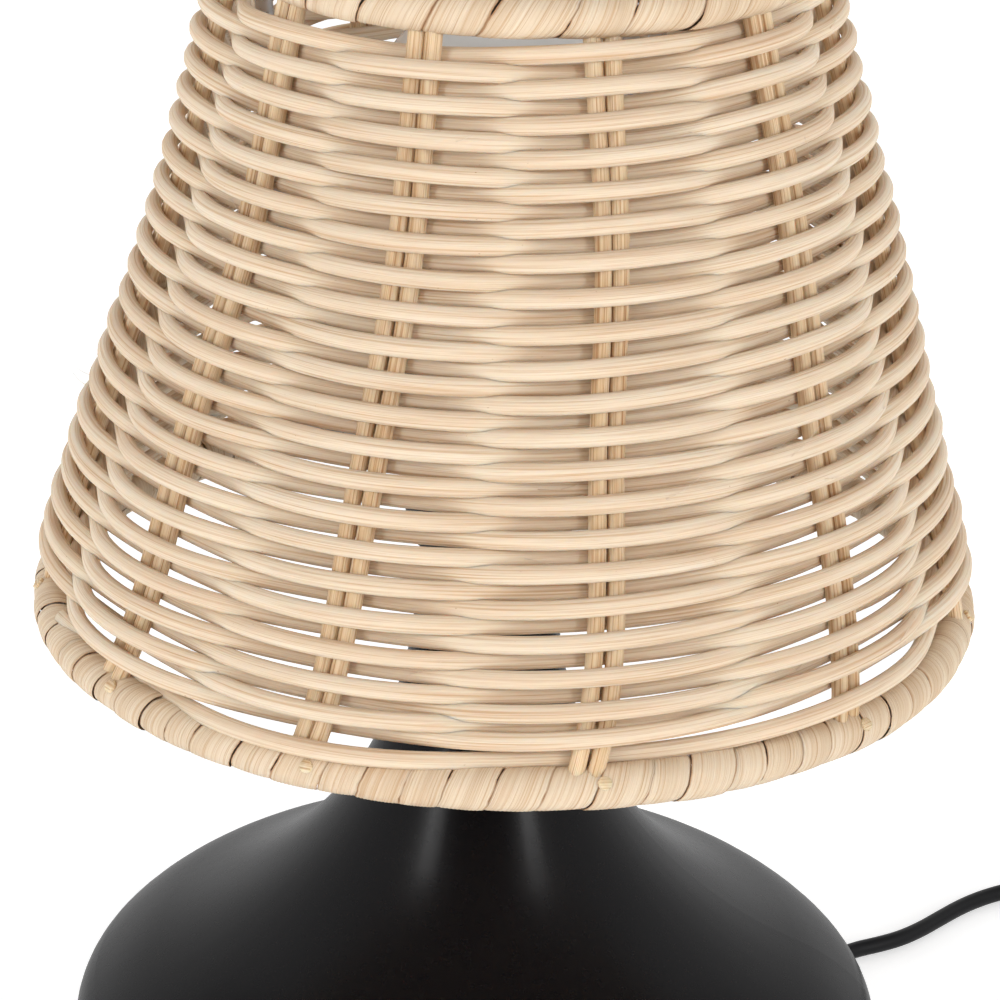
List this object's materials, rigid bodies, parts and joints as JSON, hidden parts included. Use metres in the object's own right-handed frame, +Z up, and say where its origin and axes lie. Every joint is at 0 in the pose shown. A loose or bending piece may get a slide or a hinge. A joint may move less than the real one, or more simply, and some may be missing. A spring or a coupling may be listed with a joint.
{
  "type": "table lamp with shade",
  "caption": "Table lamp: black gourd-shaped base on a felt pad, E27 holder, conical woven cane shade with wound rims, mains cord with rocker switch and flat plug.",
  "frame": {"origin": "on the base's axis, on the surface that the felt pad stands on", "axes": "+Z up along the base's axis, -Y towards the viewer's side, +X towards the side where the cord leaves"},
  "size_m": [0.4102, 0.255, 0.3112],
  "materials": {
    "black_lacquer": "satin lacquer with a faint orange peel",
    "black_felt": "pressed felt",
    "steel": "bright zinc plated",
    "iron": "as cast",
    "black_rubber": "matt",
    "cord_jacket": "soft PVC, satin",
    "wire_insulation": "satin",
    "black_plastic": "satin moulded",
    "white_ceramic": "unglazed",
    "brass": "plain",
    "black_gloss": "moulded, smooth",
    "nickel": "nickel plated",
    "rattan": "natural round cane, unvarnished",
    "rattan_stake": "natural cane, darker",
    "rattan_peel": "split peel, ribbed along its length",
    "opal_glass": "opal, smooth"
  },
  "bodies": {
    "base": {"base_shell": "black_lacquer", "felt_pad": "black_felt", "base_plate": "steel", "ballast": "iron", "threaded_rod": "steel", "bottom_washer": "steel", "bottom_nut": "steel", "neck_collar": "black_lacquer", "cord_gland": "black_rubber", "cord_in_base": "cord_jacket", "lead_wires": "wire_insulation", "holder_cap": "black_plastic", "holder_core": "white_ceramic", "holder_sleeve": "black_plastic", "screw_shell": "brass", "centre_contact": "brass", "terminal_screws": "brass", "shade_ring": "black_plastic", "cord_free": "cord_jacket", "cord_link": "cord_jacket", "cord_coil": "cord_jacket", "cord_tail": "cord_jacket", "switch_base": "black_gloss", "switch_cover": "black_gloss", "switch_screws": "steel", "plug_body": "black_gloss", "plug_pins": "nickel"},
    "shade": {"fitter_ring": "steel", "fitter_arms": "steel", "top_ring_wire": "steel", "bottom_ring_wire": "steel", "stakes": "rattan_stake", "woven_wall": "rattan", "top_rim_wrap": "rattan_peel", "bottom_rim_wrap": "rattan_peel"},
    "bulb": {"bulb_globe": "opal_glass", "bulb_cap": "nickel", "bulb_insulator": "black_gloss", "bulb_contact": "brass"},
    "rocker": {"switch_rocker": "black_gloss"}
  },
  "joints": [
    {"name": "shade_turn", "type": "hinge", "parent": "base", "child": "shade", "pos_m": [0, 0, 0.19], "axis": [0, 0, 1], "continuous": true},
    {"name": "bulb_lift", "type": "slide", "parent": "base", "child": "bulb", "axis": [0, 0, 1], "range_m": [0, 0.13]},
    {"name": "switch_rock", "type": "hinge", "parent": "base", "child": "rocker", "pos_m": [0.204, 0.134, 0.0115], "axis": [0, 1, 0], "range_deg": [-14, 0]}
  ]
}
